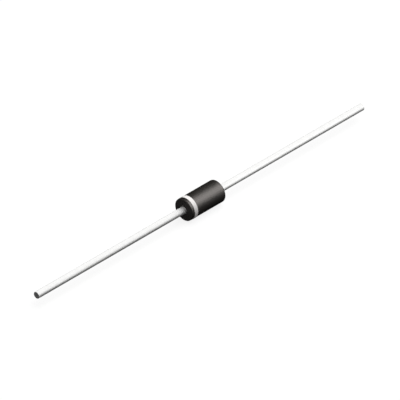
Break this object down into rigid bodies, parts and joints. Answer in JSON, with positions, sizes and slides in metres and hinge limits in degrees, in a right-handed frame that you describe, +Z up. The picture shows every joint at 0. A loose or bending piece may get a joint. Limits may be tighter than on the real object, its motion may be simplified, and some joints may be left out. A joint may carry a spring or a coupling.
{
  "type": "zener diode",
  "caption": "Axial-lead zener diode: black moulded cylindrical body, white cathode band near one end and straight round tinned leads for soldering into a circuit board.",
  "frame": {"origin": "centre of the moulded body, on the axis of the leads", "axes": "+X along the leads from the cathode end to the anode end, +Z up; the outside is round about X"},
  "size_m": [0.0508, 0.0028, 0.0028],
  "materials": {
    "epoxy": "matte moulded black epoxy",
    "band_ink": "white printed ink",
    "tinned_copper": "bright tin plate on drawn copper wire",
    "silicon": "etched silicon",
    "solder": "dull solder",
    "silicone": "cured white silicone"
  },
  "bodies": {
    "root": {"body": "epoxy", "cathode_band": "band_ink", "cathode_lead": "tinned_copper", "anode_lead": "tinned_copper", "zener_die": "silicon", "cathode_solder": "solder", "anode_solder": "solder", "junction_coating": "silicone"}
  },
  "joints": []
}
